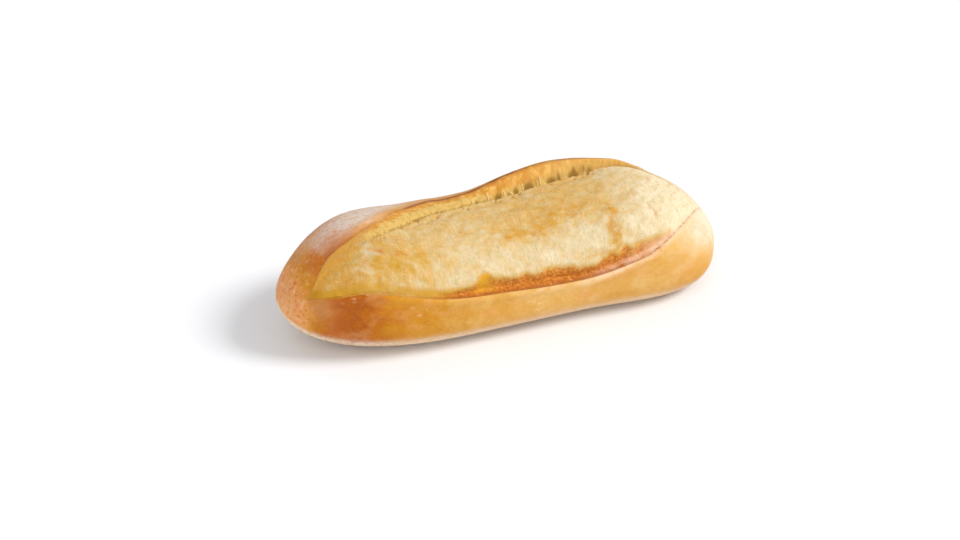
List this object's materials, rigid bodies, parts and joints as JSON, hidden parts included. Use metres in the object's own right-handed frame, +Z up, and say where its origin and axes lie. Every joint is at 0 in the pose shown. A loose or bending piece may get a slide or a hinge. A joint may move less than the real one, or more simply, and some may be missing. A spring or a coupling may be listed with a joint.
{
  "type": "potato ciabatta",
  "caption": "Rustic oblong loaf of bread, opened lengthwise by a baker's cut: golden crust with a lifted lip, a torn front band, pale risen crumb and a flat base to rest on.",
  "frame": {"origin": "middle of the loaf's plan outline, on the plane that it rests on", "axes": "+X along the loaf towards its blunt end, -Y towards the front of the cut, +Z up"},
  "size_m": [0.28, 0.1106, 0.0708],
  "materials": {
    "crust": "dry golden-brown baked crust with a pale floury crumb in the cut"
  },
  "bodies": {
    "root": {"loaf": "crust"}
  },
  "joints": []
}
